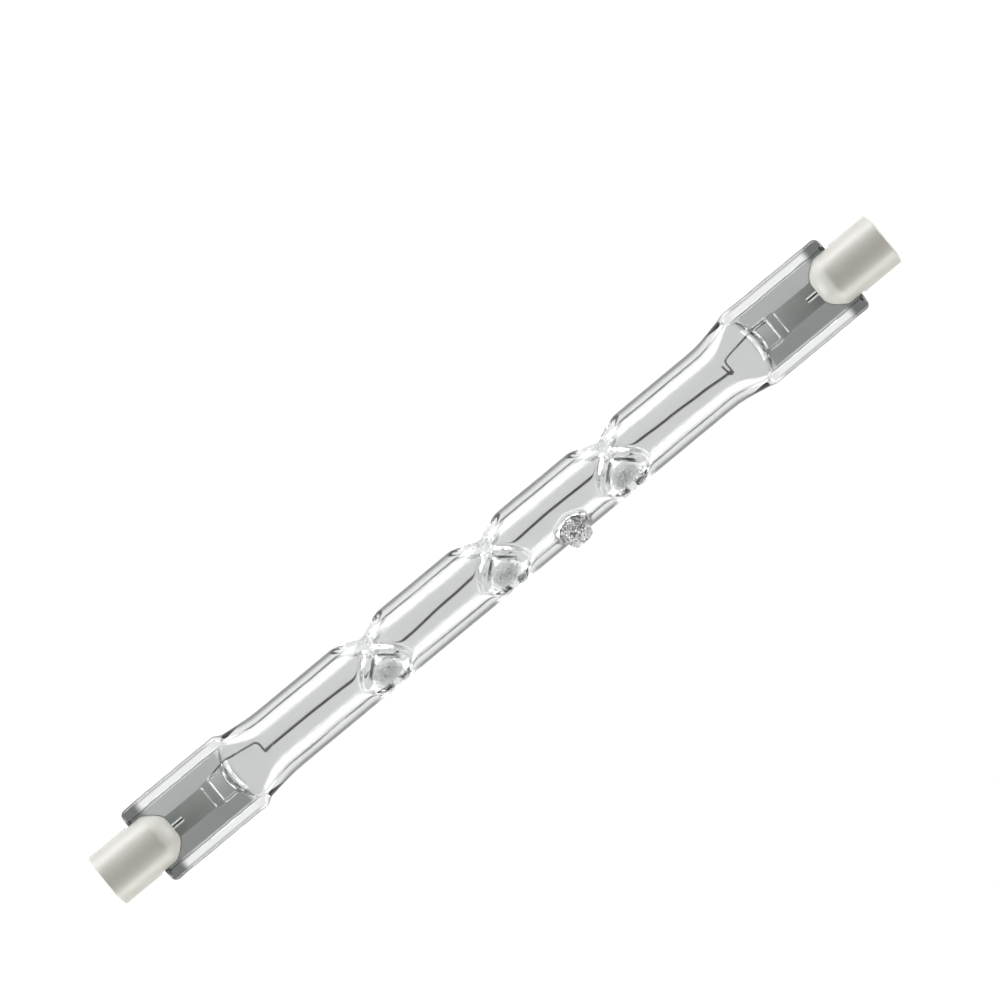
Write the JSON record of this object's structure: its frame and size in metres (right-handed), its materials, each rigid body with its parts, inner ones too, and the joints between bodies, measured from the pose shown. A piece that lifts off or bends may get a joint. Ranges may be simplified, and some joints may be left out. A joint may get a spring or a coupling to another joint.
{
  "type": "linear halogen bulb",
  "caption": "Double-ended linear halogen bulb: clear dimpled quartz tube with a long coil filament, flat press seals and white ceramic caps with recessed contacts for sprung holders",
  "frame": {"origin": "middle of the lamp on the axis of its tube", "axes": "+X along the lamp toward the right end, +Y across the width of the flat pinches, +Z square to the pinch faces, up as the lamp lies"},
  "size_m": [0.1176, 0.0104, 0.0094],
  "materials": {
    "quartz": "clear polished",
    "tungsten": "dull",
    "molybdenum_wire": "drawn",
    "molybdenum_foil": "etched matt",
    "steatite": "satin",
    "nickel": "plated",
    "cement": "matt"
  },
  "bodies": {
    "root": {"quartz_envelope": "quartz", "filament": "tungsten", "inner_lead_left": "molybdenum_wire", "inner_lead_right": "molybdenum_wire", "outer_lead_left": "molybdenum_wire", "outer_lead_right": "molybdenum_wire", "foil_left": "molybdenum_foil", "foil_right": "molybdenum_foil", "ceramic_cap_left": "steatite", "ceramic_cap_right": "steatite", "contact_left": "nickel", "contact_right": "nickel", "cement_left": "cement", "cement_right": "cement"}
  },
  "joints": []
}
